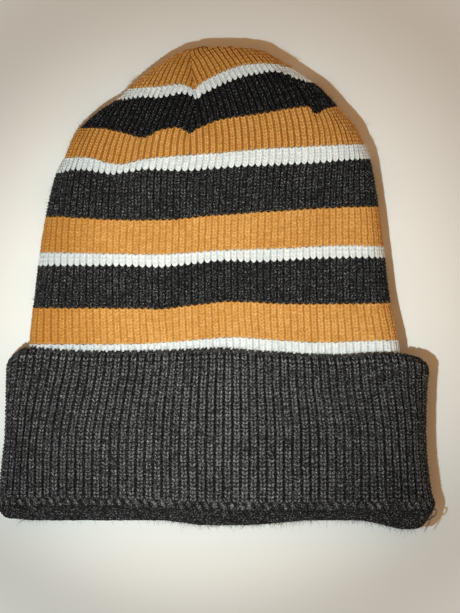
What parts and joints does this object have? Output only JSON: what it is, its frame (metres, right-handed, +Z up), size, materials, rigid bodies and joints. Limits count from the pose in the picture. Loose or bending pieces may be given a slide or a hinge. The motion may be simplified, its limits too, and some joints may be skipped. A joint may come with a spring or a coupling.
{
  "type": "cuffed knit beanie",
  "caption": "Ribbed knit beanie lying flat, with a deep turned-up cuff, three-colour stripes and a dart-sewn crown.",
  "frame": {"origin": "centre of the footprint, on the surface the hat lies on", "axes": "+X across the hat to its right, +Y from the mouth to the crown, +Z up through its front"},
  "size_m": [0.1972, 0.216, 0.0176],
  "materials": {
    "black_yarn": "fuzzy charcoal-black acrylic yarn, rib knit, matt",
    "orange_yarn": "fuzzy mustard-orange acrylic yarn, rib knit, matt",
    "white_yarn": "fuzzy off-white acrylic yarn, rib knit, matt",
    "seam_thread": "orange sewing thread, matt"
  },
  "bodies": {
    "root": {"under_cuff_band": "black_yarn", "stripe_white_1": "white_yarn", "stripe_orange_1": "orange_yarn", "stripe_black_1": "black_yarn", "stripe_white_2": "white_yarn", "stripe_orange_2": "orange_yarn", "stripe_black_2": "black_yarn", "stripe_white_3": "white_yarn", "stripe_orange_3": "orange_yarn", "stripe_black_3": "black_yarn", "stripe_white_4": "white_yarn", "crown_orange": "orange_yarn", "dart_seam_front_left": "seam_thread", "dart_seam_front_right": "seam_thread", "dart_seam_back_left": "seam_thread", "dart_seam_back_right": "seam_thread", "crown_closing_knot": "seam_thread"},
    "cuff": {"cuff_hem_roll": "black_yarn", "cuff_link_stitches": "black_yarn", "cuff_wall": "black_yarn", "cuff_top_edge": "black_yarn", "yarn_tail": "black_yarn"}
  },
  "joints": [
    {"name": "cuff_turn_down", "type": "slide", "parent": "root", "child": "cuff", "axis": [0, -1, 0], "range_m": [0, 0.074]}
  ]
}
